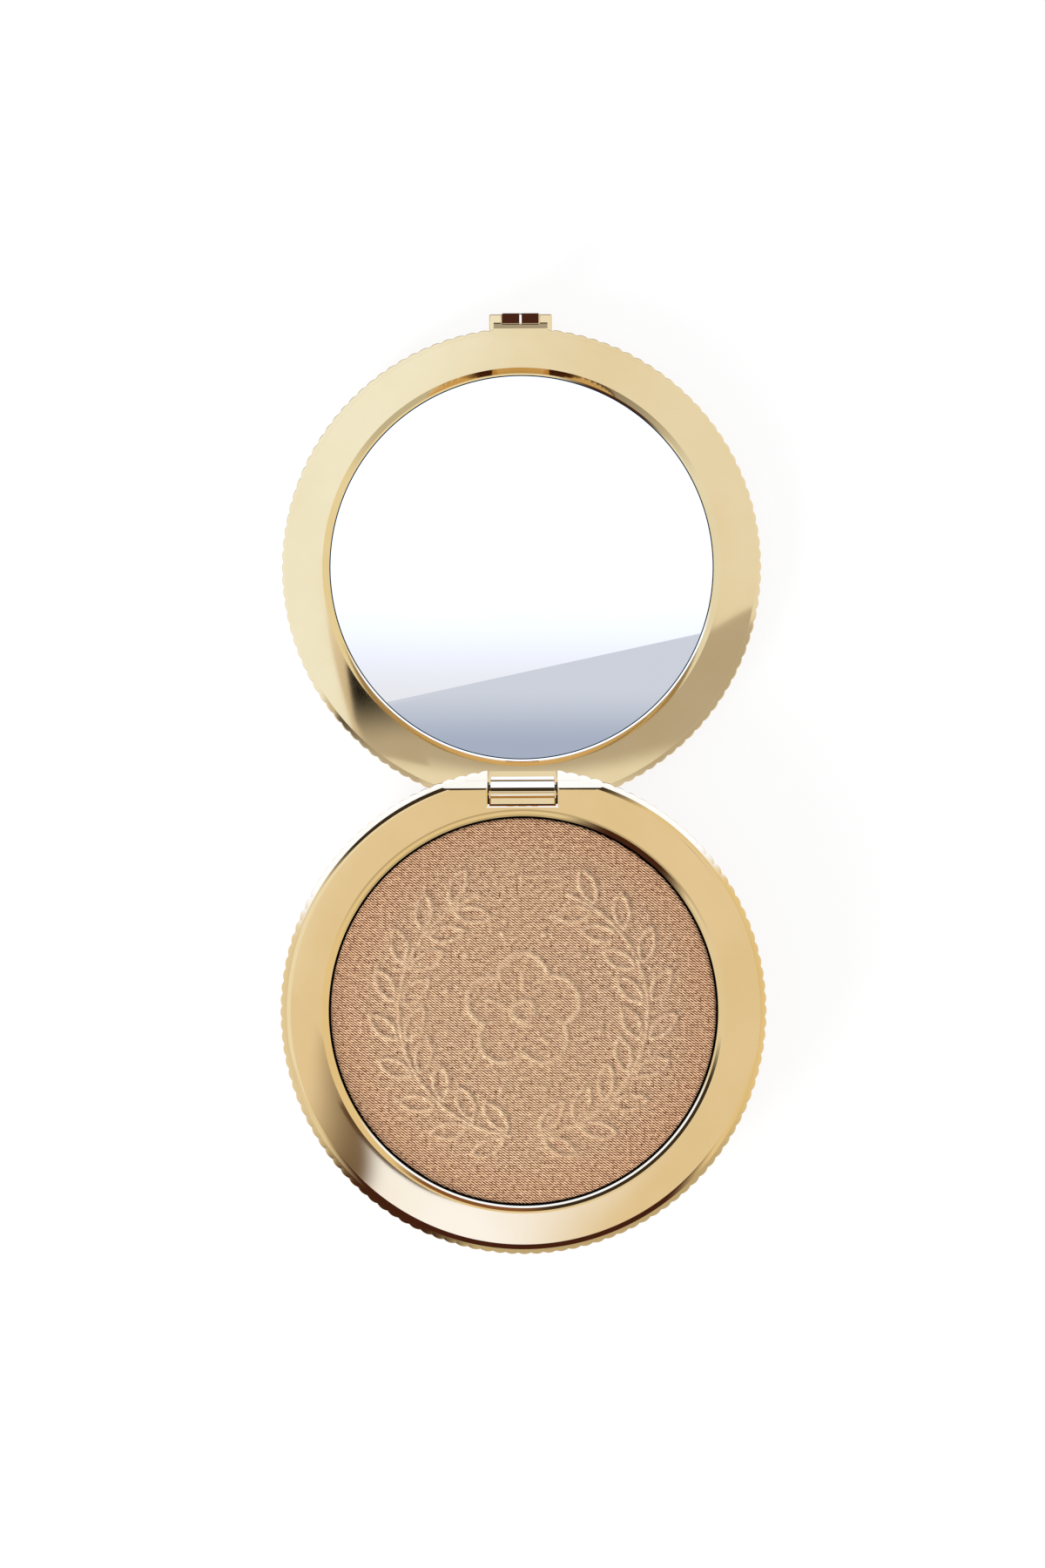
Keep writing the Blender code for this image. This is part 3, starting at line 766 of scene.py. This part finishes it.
def maths(tree, operation, first, second=0.0):
    """The value of a Math node."""
    return add_node(tree, "ShaderNodeMath", {0: first, 1: second}, operation=operation).outputs[0]


def times(tree, first, second):
    """The product of two values."""
    return maths(tree, "MULTIPLY", first, second)


def plus(tree, first, second):
    """The sum of two values."""
    return maths(tree, "ADD", first, second)


def remap(tree, value, low, high, to_low=0.0, to_high=1.0):
    """A value carried smoothly from one span to another."""
    values = {"Value": value, "From Min": low, "From Max": high, "To Min": to_low, "To Max": to_high}
    return add_node(tree, "ShaderNodeMapRange", values, interpolation_type="SMOOTHSTEP").outputs[0]


def mixed(tree, factor, first, second, blend="MIX"):
    """A mix of two colours, each a socket or three numbers."""
    values = {0: factor}
    for index, tone in ((6, first), (7, second)):
        values[index] = tone if isinstance(tone, bpy.types.NodeSocket) else (*tone, 1.0)
    return add_node(tree, "ShaderNodeMix", values, data_type="RGBA", blend_type=blend).outputs[2]


def noise(tree, place, scale, detail, roughness=0.5):
    """The value of a Noise texture."""
    values = {"Vector": place, "Scale": scale, "Detail": detail, "Roughness": roughness}
    return add_node(tree, "ShaderNodeTexNoise", values).outputs["Fac"]


def axis_distance(tree, place, centre_y):
    """Distance from the upright axis of one half of the compact."""
    centred = add_node(tree, "ShaderNodeMapping", {"Vector": place, "Location": (0.0, -centre_y, 0.0),
                                                   "Scale": (1.0, 1.0, 0.0)}).outputs[0]
    return add_node(tree, "ShaderNodeVectorMath", {0: centred}, operation="LENGTH").outputs["Value"]


def bumped(tree, height, strength, distance):
    """A normal from a Bump node."""
    values = {"Height": height, "Strength": strength, "Distance": distance}
    return add_node(tree, "ShaderNodeBump", values).outputs[0]


def handling_group():
    """Marks of handling: fine hairlines and soft finger smears, for any polished surface."""
    name = "Handling marks"
    if name in bpy.data.node_groups:
        return bpy.data.node_groups[name]
    tree = bpy.data.node_groups.new(name, "ShaderNodeTree")
    tree.interface.new_socket("Vector", in_out="INPUT", socket_type="NodeSocketVector")
    for socket, way in (("Smear Scale", "INPUT"), ("Hairline Scale", "INPUT"), ("Smears", "OUTPUT"),
                        ("Hairlines", "OUTPUT")):
        tree.interface.new_socket(socket, in_out=way, socket_type="NodeSocketFloat")
    given = tree.nodes.new("NodeGroupInput").outputs
    leave = tree.nodes.new("NodeGroupOutput")
    smear = noise(tree, given["Vector"], given["Smear Scale"], 4.0, 0.6)
    stretch = add_node(tree, "ShaderNodeMapping", {"Vector": given["Vector"], "Rotation": (0.0, 0.0, 0.6),
                                                   "Scale": (1.0, 14.0, 1.0)}).outputs[0]
    hair = noise(tree, stretch, given["Hairline Scale"], 2.0)
    feed(tree, leave, {"Smears": remap(tree, smear, 0.35, 0.75),
                       "Hairlines": remap(tree, hair, 0.62, 0.78)})
    return tree


def handling_marks(tree, place, smear_scale, hairline_scale):
    """The handling group placed in a material; returns its smears and hairlines."""
    values = {"Vector": place, "Smear Scale": smear_scale, "Hairline Scale": hairline_scale}
    marks = add_node(tree, "ShaderNodeGroup", values, node_tree=handling_group())
    return marks.outputs["Smears"], marks.outputs["Hairlines"]


def new_material(name):
    """A material with its Principled shader; returns it, its tree, the shader and Object coordinates."""
    made = bpy.data.materials.new(name)
    made.use_nodes = True
    tree = made.node_tree
    place = add_node(tree, "ShaderNodeTexCoord").outputs["Object"]
    return made, tree, tree.nodes["Principled BSDF"], place


def gold_finish(context, body):
    """Metallised gold film of the base or lid: smears, hairlines, a paler tone at the rim's outer edge, and
    painted shade in the wells.
    """
    name = "gold film, " + body
    if name in bpy.data.materials:
        return bpy.data.materials[name]
    colours = context.scene.compact_colours
    is_base = body == "base"
    film = tuple(colours.base_gold if is_base else colours.lid_gold)
    made, tree, shader, place = new_material(name)
    smears, hairlines = handling_marks(tree, place, 55.0, 900.0)
    radius = axis_distance(tree, place, 0.0 if is_base else LID_Y)
    crest = remap(tree, radius, RIM_RADIUS - 0.5 * MM, RIM_RADIUS)
    deep = tuple(part * shade for part, shade in zip(film, (0.96, 0.94, 0.88)))
    # Paler towards the rim's outer edge
    rim_pale = tuple(min(1.0, part * 1.03 + 0.03) for part in film)
    tone = mixed(tree, smears, film, deep)
    tone = mixed(tree, times(tree, crest, 0.5), tone, rim_pale)
    # Painted shade: below the lip the wells are painted near black, matt and not metallic, for the shadow
    # in the gap round the pan
    height = add_node(tree, "ShaderNodeSeparateXYZ", {0: place}).outputs[2]
    well = context.scene.compact_sizes.well_radius
    well_floor = TRAY_BOTTOM if is_base else LID_TRAY_BOTTOM - 0.4 * MM
    painted_well_shade = times(tree, maths(tree, "LESS_THAN", radius, well + 0.012 * MM),
                 maths(tree, "GREATER_THAN", height, well_floor))
    rough = plus(tree, times(tree, smears, 0.014), 0.024)
    rough = plus(tree, rough, times(tree, hairlines, 0.012))
    feed(tree, shader, {"Base Color": mixed(tree, painted_well_shade, tone, (0.02, 0.014, 0.011)),
                        "Roughness": plus(tree, rough, times(tree, painted_well_shade, 0.75)),
                        "Metallic": maths(tree, "SUBTRACT", 1.0, painted_well_shade)})
    return made


def mirror_finish(context):
    """Silvered glass with faint smears and a dulled ground edge."""
    silver = tuple(context.scene.compact_colours.silver)
    made, tree, shader, place = new_material("silvered glass")
    smears = handling_marks(tree, place, 40.0, 700.0)[0]
    radius = axis_distance(tree, place, LID_Y)
    edge = remap(tree, radius, MIRROR_RADIUS + 0.11 * MM, MIRROR_RADIUS + 0.16 * MM)
    face = mixed(tree, smears, silver, tuple(part * 0.985 for part in silver))
    feed(tree, shader, {"Base Color": mixed(tree, edge, face, (0.03, 0.035, 0.04)),
                        "Roughness": plus(tree, times(tree, smears, 0.015), times(tree, edge, 0.4)),
                        "Metallic": 1.0})
    return made


def powder_finish(context):
    """Pressed powder: a woven imprint of slanting dashes, whose light and shade are painted into the
    colour, pearl flecks, and a paler tone on the raised design.
    """
    body = tuple(context.scene.compact_colours.powder)
    made, tree, shader, place = new_material("pressed powder")
    split = add_node(tree, "ShaderNodeSeparateXYZ", {0: place})
    across, along = split.outputs[0], split.outputs[1]
    shake = times(tree, noise(tree, place, 900.0, 2.0), 3.5)
    rows = plus(tree, times(tree, along, math.tau * 2480.0), shake)
    rows = times(tree, maths(tree, "SINE", rows), 0.19)
    slant = plus(tree, times(tree, across, math.tau * 1830.0), times(tree, along, math.tau * 2540.0))
    slant = times(tree, maths(tree, "SINE", plus(tree, slant, shake)), 0.31)
    grain = noise(tree, place, 1500.0, 3.0, 0.7)
    level = plus(tree, plus(tree, rows, slant), grain)
    # Pale and dark dashes: the imprint's light and shade, painted into the colour as painted highlight and
    # painted shade; the bump carries its relief
    pale = tuple(min(0.95, part * k) for part, k in zip(body, (1.7, 2.2, 2.75)))
    dark = tuple(part * k for part, k in zip(body, (0.17, 0.08, 0.05)))
    tone = mixed(tree, remap(tree, level, 0.42, 0.53), dark, body)
    tone = mixed(tree, remap(tree, level, 0.53, 0.64), tone, pale)
    # Warmer towards the edge and in soft clouds
    cloud = noise(tree, place, 60.0, 3.0)
    rim = remap(tree, axis_distance(tree, place, 0.0), 20.0 * MM, 29.5 * MM, 0.0, 0.45)
    flush = plus(tree, rim, times(tree, cloud, 0.2))
    tone = mixed(tree, flush, tone, (0.93, 0.74, 0.6), "MULTIPLY")
    # Paler on the raised design, read from its relief attribute
    raised_pale = add_node(tree, "ShaderNodeAttribute", attribute_name="relief").outputs["Fac"]
    feed(tree, shader, {"Base Color": mixed(tree, times(tree, raised_pale, 0.18), tone, pale),
                        "Normal": bumped(tree, level, 0.8, 0.08 * MM),
                        "Roughness": remap(tree, grain, 0.62, 0.75, 0.75, 0.35),
                        "Specular IOR Level": 0.3})
    return made


class COMPACT_OT_hidden_parts(bpy.types.Operator):
    """Finishes of the pan, the hinge pin and the glue pads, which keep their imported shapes"""
    bl_idname = "compact.hidden_parts"
    bl_label = "Pan, pin and glue pads"

    def execute(self, context):
        glue = ("glue pad", (0.80, 0.80, 0.75), (0.70, 0.69, 0.63), 0.0, 0.6, 700.0)
        finishes = {
            "powder_pan": ("pressed aluminium", (0.62, 0.63, 0.65), (0.48, 0.49, 0.51), 1.0, 0.32, 400.0),
            "hinge_pin": ("drawn steel", (0.20, 0.15, 0.10), (0.12, 0.09, 0.06), 1.0, 0.28, 900.0),
            "pan_adhesive": glue,
            "mirror_adhesive": glue,
        }
        for node, finish in finishes.items():
            made = bpy.data.materials.get(finish[0]) or mottled_finish(*finish)
            part = frame["nodes"][node]
            part.data.materials.clear()
            part.data.materials.append(made)
        return {"FINISHED"}


def mottled_finish(name, light, dark, metallic, rough, scale):
    """A plain finish with a fine mottle in colour, gloss and bump."""
    made, tree, shader, place = new_material(name)
    grain = noise(tree, place, scale, 4.0)
    feed(tree, shader, {"Base Color": mixed(tree, grain, light, dark),
                        "Roughness": remap(tree, grain, 0.3, 0.7, rough - 0.06, rough + 0.08),
                        "Normal": bumped(tree, grain, 0.2, 0.05 * MM), "Metallic": metallic})
    return made


# Stage

CAMERA_PLACE = (0.0, 0.03455, 0.5325)
CAMERA_LENS = 78.6
CAMERA_ROLL = -0.25
KEY_PLACE = (-0.40, -0.34, 0.22)
WHITE = (1.0, 1.0, 1.0)
MATT_LIGHT = (0.78, 0.78, 0.78)
# What polished metal sees round about: bearing from the right, half width, lowest and highest elevation and
# fade, in degrees, then the colour. Dark openings at the front, front left and rear, and a white strip low
# at the rear.
OPENINGS = (
    (-92.5, 43.0, 30.0, 90.0, 4.0, (0.08, 0.030, 0.028)),
    (-122.0, 15.0, 4.0, 40.0, 3.0, (0.08, 0.035, 0.03)),
    (104.0, 43.0, 26.5, 76.0, 2.5, (0.055, 0.048, 0.045)),
    (154.0, 16.0, 24.0, 37.0, 2.0, (0.055, 0.048, 0.045)),
    (72.0, 20.0, 27.0, 34.0, 1.5, (0.32, 0.17, 0.10)),
    (97.0, 62.0, 11.5, 27.5, 1.5, (1.40, 2.12, 4.7)),
)
CARD_HEIGHT = 0.62
PALE = (1.06, 1.18, 1.38)
GREY = (0.63, 0.66, 0.73)
BRIGHT = (1.36, 1.9, 3.8)
FLAG = (0.24, 0.21, 0.21)
# Cards over the compact: name, height over CARD_HEIGHT, first and second colour, the points where they
# begin and end, and the corners, in mm
CARDS = (
    ("overhead_tent", 30, (1.17, 1.44, 1.95), PALE, (-60, 150), (10, 130),
     ((-600, -150), (600, -150), (600, 215), (-600, 215))),
    ("front_softbox", 0, BRIGHT, PALE, (-14, -100), (30, -100),
     ((-16.8, -50), (110, -50), (150, -150), (-86.4, -150))),
    ("dark_flag", 0, FLAG, PALE, (-38, -75), (-58, -55),
     ((-16.8, -50), (-86.4, -150), (-220, -150), (-110, -20))),
    ("soft_edge", -1, FLAG, BRIGHT, (-20.1, -47.7), (-13.5, -52.3),
     ((-13.5, -52.3), (-20.1, -47.7), (-89.7, -147.7), (-83.1, -152.3))),
    ("crease_flag", -2, (0.08, 0.05, 0.035), (0.14, 0.10, 0.08), (-15, -68), (-30, -60),
     ((-8.2, -67.2), (-9.7, -72), (-17.4, -70.6), (-24.1, -67.2), (-30, -62.1), (-34.2, -57),
      (-25.2, -52.7))),
    ("grey_card", 0, PALE, GREY, (0, 28), (0, 42), ((-62, 28), (150, 28), (150, 104), (-62, 58.5))),
    ("grey_deep", -2, GREY, (0.40, 0.45, 0.56), (0, 67), (0, 47),
     ((-47, 60.5), (-27, 64.8), (48, 66), (44, 58), (30, 48), (12, 41), (-12, 41), (-30, 48))),
    ("lid_shade", -4, (0.0, 0.0, 0.0), GREY, (-55.5, 64), (-46, 42),
     ((-55.3, 73.7), (-58.5, 77), (-63, 50), (-60, 34), (-34, 34), (-34.2, 52.3), (-42.3, 58.3),
      (-49.4, 65.6))),
    ("mirror_haze", 4, (0.83, 0.835, 0.875), (1.12, 1.2, 1.4), (0, 60), (0, 108),
     ((-66, 40), (66, 70), (66, 108), (50, 126), (-50, 126), (-66, 108))),
)


class COMPACT_OT_stage(bpy.types.Operator):
    """White floor, overhead tent with its cards, key lamp, world and camera"""
    bl_idname = "compact.stage"
    bl_label = "Stage"

    def execute(self, context):
        scene = context.scene
        scene.view_settings.view_transform = "Standard"
        make_camera(scene)
        make_floor()
        make_world(scene)
        for row in CARDS:
            make_card(*row)
        make_key()
        return {"FINISHED"}


def make_camera(scene):
    """A camera looking straight down on the open compact."""
    clear_selection()
    bpy.ops.object.camera_add(location=CAMERA_PLACE, rotation=(0.0, 0.0, math.radians(CAMERA_ROLL)))
    camera = bpy.context.object
    camera.data.sensor_width = 36.0
    camera.data.lens = CAMERA_LENS
    camera.data.clip_start = 0.01
    camera.data.clip_end = 50.0
    scene.camera = camera


def bare_material(name):
    """A material with nothing but its output; returns the material, its tree and the output."""
    made = bpy.data.materials.new(name)
    made.use_nodes = True
    tree = made.node_tree
    tree.nodes.clear()
    return made, tree, tree.nodes.new("ShaderNodeOutputMaterial")


def make_floor():
    """A white floor that keeps the object's shadow."""
    clear_selection()
    bpy.ops.mesh.primitive_plane_add(size=8.0, location=(0.0, 0.0, 0.0))
    floor = name_active("floor")
    made, tree, out = bare_material("white floor")
    seen = add_node(tree, "ShaderNodeLightPath").outputs
    shown = maths(tree, "MAXIMUM", seen["Is Camera Ray"], seen["Is Glossy Ray"])
    shown = maths(tree, "MAXIMUM", shown, seen["Is Transmission Ray"])
    paper = add_node(tree, "ShaderNodeBsdfDiffuse", {"Color": (0.9, 0.9, 0.9, 1.0)}).outputs[0]
    dim = add_node(tree, "ShaderNodeBsdfDiffuse", {"Color": (0.16, 0.16, 0.16, 1.0)}).outputs[0]
    glow = add_node(tree, "ShaderNodeEmission", {"Color": (*WHITE, 1.0), "Strength": 0.86}).outputs[0]
    bright = add_node(tree, "ShaderNodeAddShader", {0: dim, 1: glow}).outputs[0]
    surface = add_node(tree, "ShaderNodeMixShader", {0: shown, 1: paper, 2: bright}).outputs[0]
    feed(tree, out, {"Surface": surface})
    floor.data.materials.append(made)


def make_world(scene):
    """A pale studio, white to the camera, with the openings that polished metal sees."""
    world = bpy.data.worlds.new("studio")
    scene.world = world
    world.use_nodes = True
    tree = world.node_tree
    tree.nodes.clear()
    out = tree.nodes.new("ShaderNodeOutputWorld")
    way = add_node(tree, "ShaderNodeTexCoord").outputs["Generated"]
    right, rear, up = add_node(tree, "ShaderNodeSeparateXYZ", {0: way}).outputs
    flat = maths(tree, "SQRT", plus(tree, times(tree, right, right), times(tree, rear, rear)))
    flat = maths(tree, "MAXIMUM", flat, 0.001)
    lit = mixed(tree, remap(tree, right, -0.7, 0.7), (1.05, 1.22, 1.48), (1.06, 1.13, 1.10))
    low_front = times(tree, remap(tree, rear, -0.35, -0.7), remap(tree, up, 0.3, 0.27))
    lit = mixed(tree, low_front, lit, (0.70, 0.77, 0.82))
    for bearing, half, low, top, fade, shade in OPENINGS:
        angle = math.radians(bearing)
        ahead = plus(tree, times(tree, right, math.cos(angle)), times(tree, rear, math.sin(angle)))
        facing = maths(tree, "DIVIDE", ahead, flat)
        side = min(8.0, half / 2)
        wide, narrow = math.cos(math.radians(half + side)), math.cos(math.radians(half - side))
        across = remap(tree, facing, wide, narrow)
        above = remap(tree, up, math.sin(math.radians(low)), math.sin(math.radians(low + fade)))
        below = remap(tree, up, math.sin(math.radians(top - fade)), math.sin(math.radians(top)), 1.0, 0.0)
        inside = times(tree, times(tree, above, below), across)
        lit = mixed(tree, inside, lit, shade)
    rays = add_node(tree, "ShaderNodeLightPath").outputs
    tone = mixed(tree, rays["Is Glossy Ray"], MATT_LIGHT, lit)
    tone = mixed(tree, rays["Is Camera Ray"], tone, WHITE)
    glow = add_node(tree, "ShaderNodeBackground", {"Color": tone, "Strength": 1.0}).outputs[0]
    feed(tree, out, {"Surface": glow})


def make_card(name, lift, first, second, start, end, corners):
    """A glowing card over the compact; its colour runs from first at the point start to second at end.

    Matt surfaces see every card in the same plain light, so that only reflections take its colour.
    """
    clear_selection()
    bpy.ops.mesh.primitive_circle_add(vertices=len(corners), radius=0.1, fill_type="NGON",
                                      location=(0.0, 0.0, CARD_HEIGHT + lift * MM))
    item = name_active(name)
    for vert, (x, y) in zip(item.data.vertices, corners):
        vert.co = (x * MM, y * MM, 0.0)
    made, tree, out = bare_material(name)
    place = add_node(tree, "ShaderNodeTexCoord").outputs["Object"]
    run = [(b - a) * MM for a, b in zip(start, end)]
    span = run[0] * run[0] + run[1] * run[1]
    way = (run[0] / span, run[1] / span, 0.0)
    begun = add_node(tree, "ShaderNodeVectorMath", {0: place, 1: (start[0] * MM, start[1] * MM, 0.0)},
                     operation="SUBTRACT").outputs[0]
    along = add_node(tree, "ShaderNodeVectorMath", {0: begun, 1: way}, operation="DOT_PRODUCT")
    tone = mixed(tree, remap(tree, along.outputs["Value"], 0.0, 1.0), first, second)
    glossy = add_node(tree, "ShaderNodeLightPath").outputs["Is Glossy Ray"]
    tone = mixed(tree, glossy, MATT_LIGHT, tone)
    glow = add_node(tree, "ShaderNodeEmission", {"Color": tone, "Strength": 1.0}).outputs[0]
    feed(tree, out, {"Surface": glow})
    item.data.materials.append(made)
    item.visible_camera = False


def make_key():
    """A low lamp from the lower left that brings out the relief on the powder."""
    clear_selection()
    bpy.ops.object.light_add(type="AREA", location=KEY_PLACE)
    lamp = name_active("key")
    lamp.rotation_euler = Vector((-0.40, -0.34, 0.21)).to_track_quat("Z", "Y").to_euler()
    lamp.data.shape = "DISK"
    lamp.data.size = 0.26
    lamp.data.energy = 3.6
    lamp.visible_glossy = False


class COMPACT_PT_panel(bpy.types.Panel):
    """The compact's operators"""
    bl_idname = "COMPACT_PT_panel"
    bl_label = "Powder compact"
    bl_space_type = "VIEW_3D"
    bl_region_type = "UI"
    bl_category = "Compact"

    def draw(self, context):
        column = self.layout.column()
        for operator in OPERATORS:
            column.operator(operator.bl_idname)


OPERATORS = (COMPACT_OT_stage, COMPACT_OT_base_case, COMPACT_OT_base_ring, COMPACT_OT_powder_cake,
             COMPACT_OT_lid_case, COMPACT_OT_mirror_ring, COMPACT_OT_mirror_plate,
             COMPACT_OT_latch_catch, COMPACT_OT_hidden_parts)
CLASSES = (CompactSizes, CompactColours, *OPERATORS, COMPACT_PT_panel)


def register():
    """Register the classes and the scene's properties."""
    for item in CLASSES:
        bpy.utils.register_class(item)
    bpy.types.Scene.compact_sizes = bpy.props.PointerProperty(type=CompactSizes)
    bpy.types.Scene.compact_colours = bpy.props.PointerProperty(type=CompactColours)


def unregister():
    """Remove the properties and the classes."""
    del bpy.types.Scene.compact_colours
    del bpy.types.Scene.compact_sizes
    for item in reversed(CLASSES):
        bpy.utils.unregister_class(item)


def main():
    """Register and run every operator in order."""
    register()
    for operator in OPERATORS:
        group, name = operator.bl_idname.split(".")
        getattr(getattr(bpy.ops, group), name)()
    clear_selection()


if __name__ == "__main__":
    main()
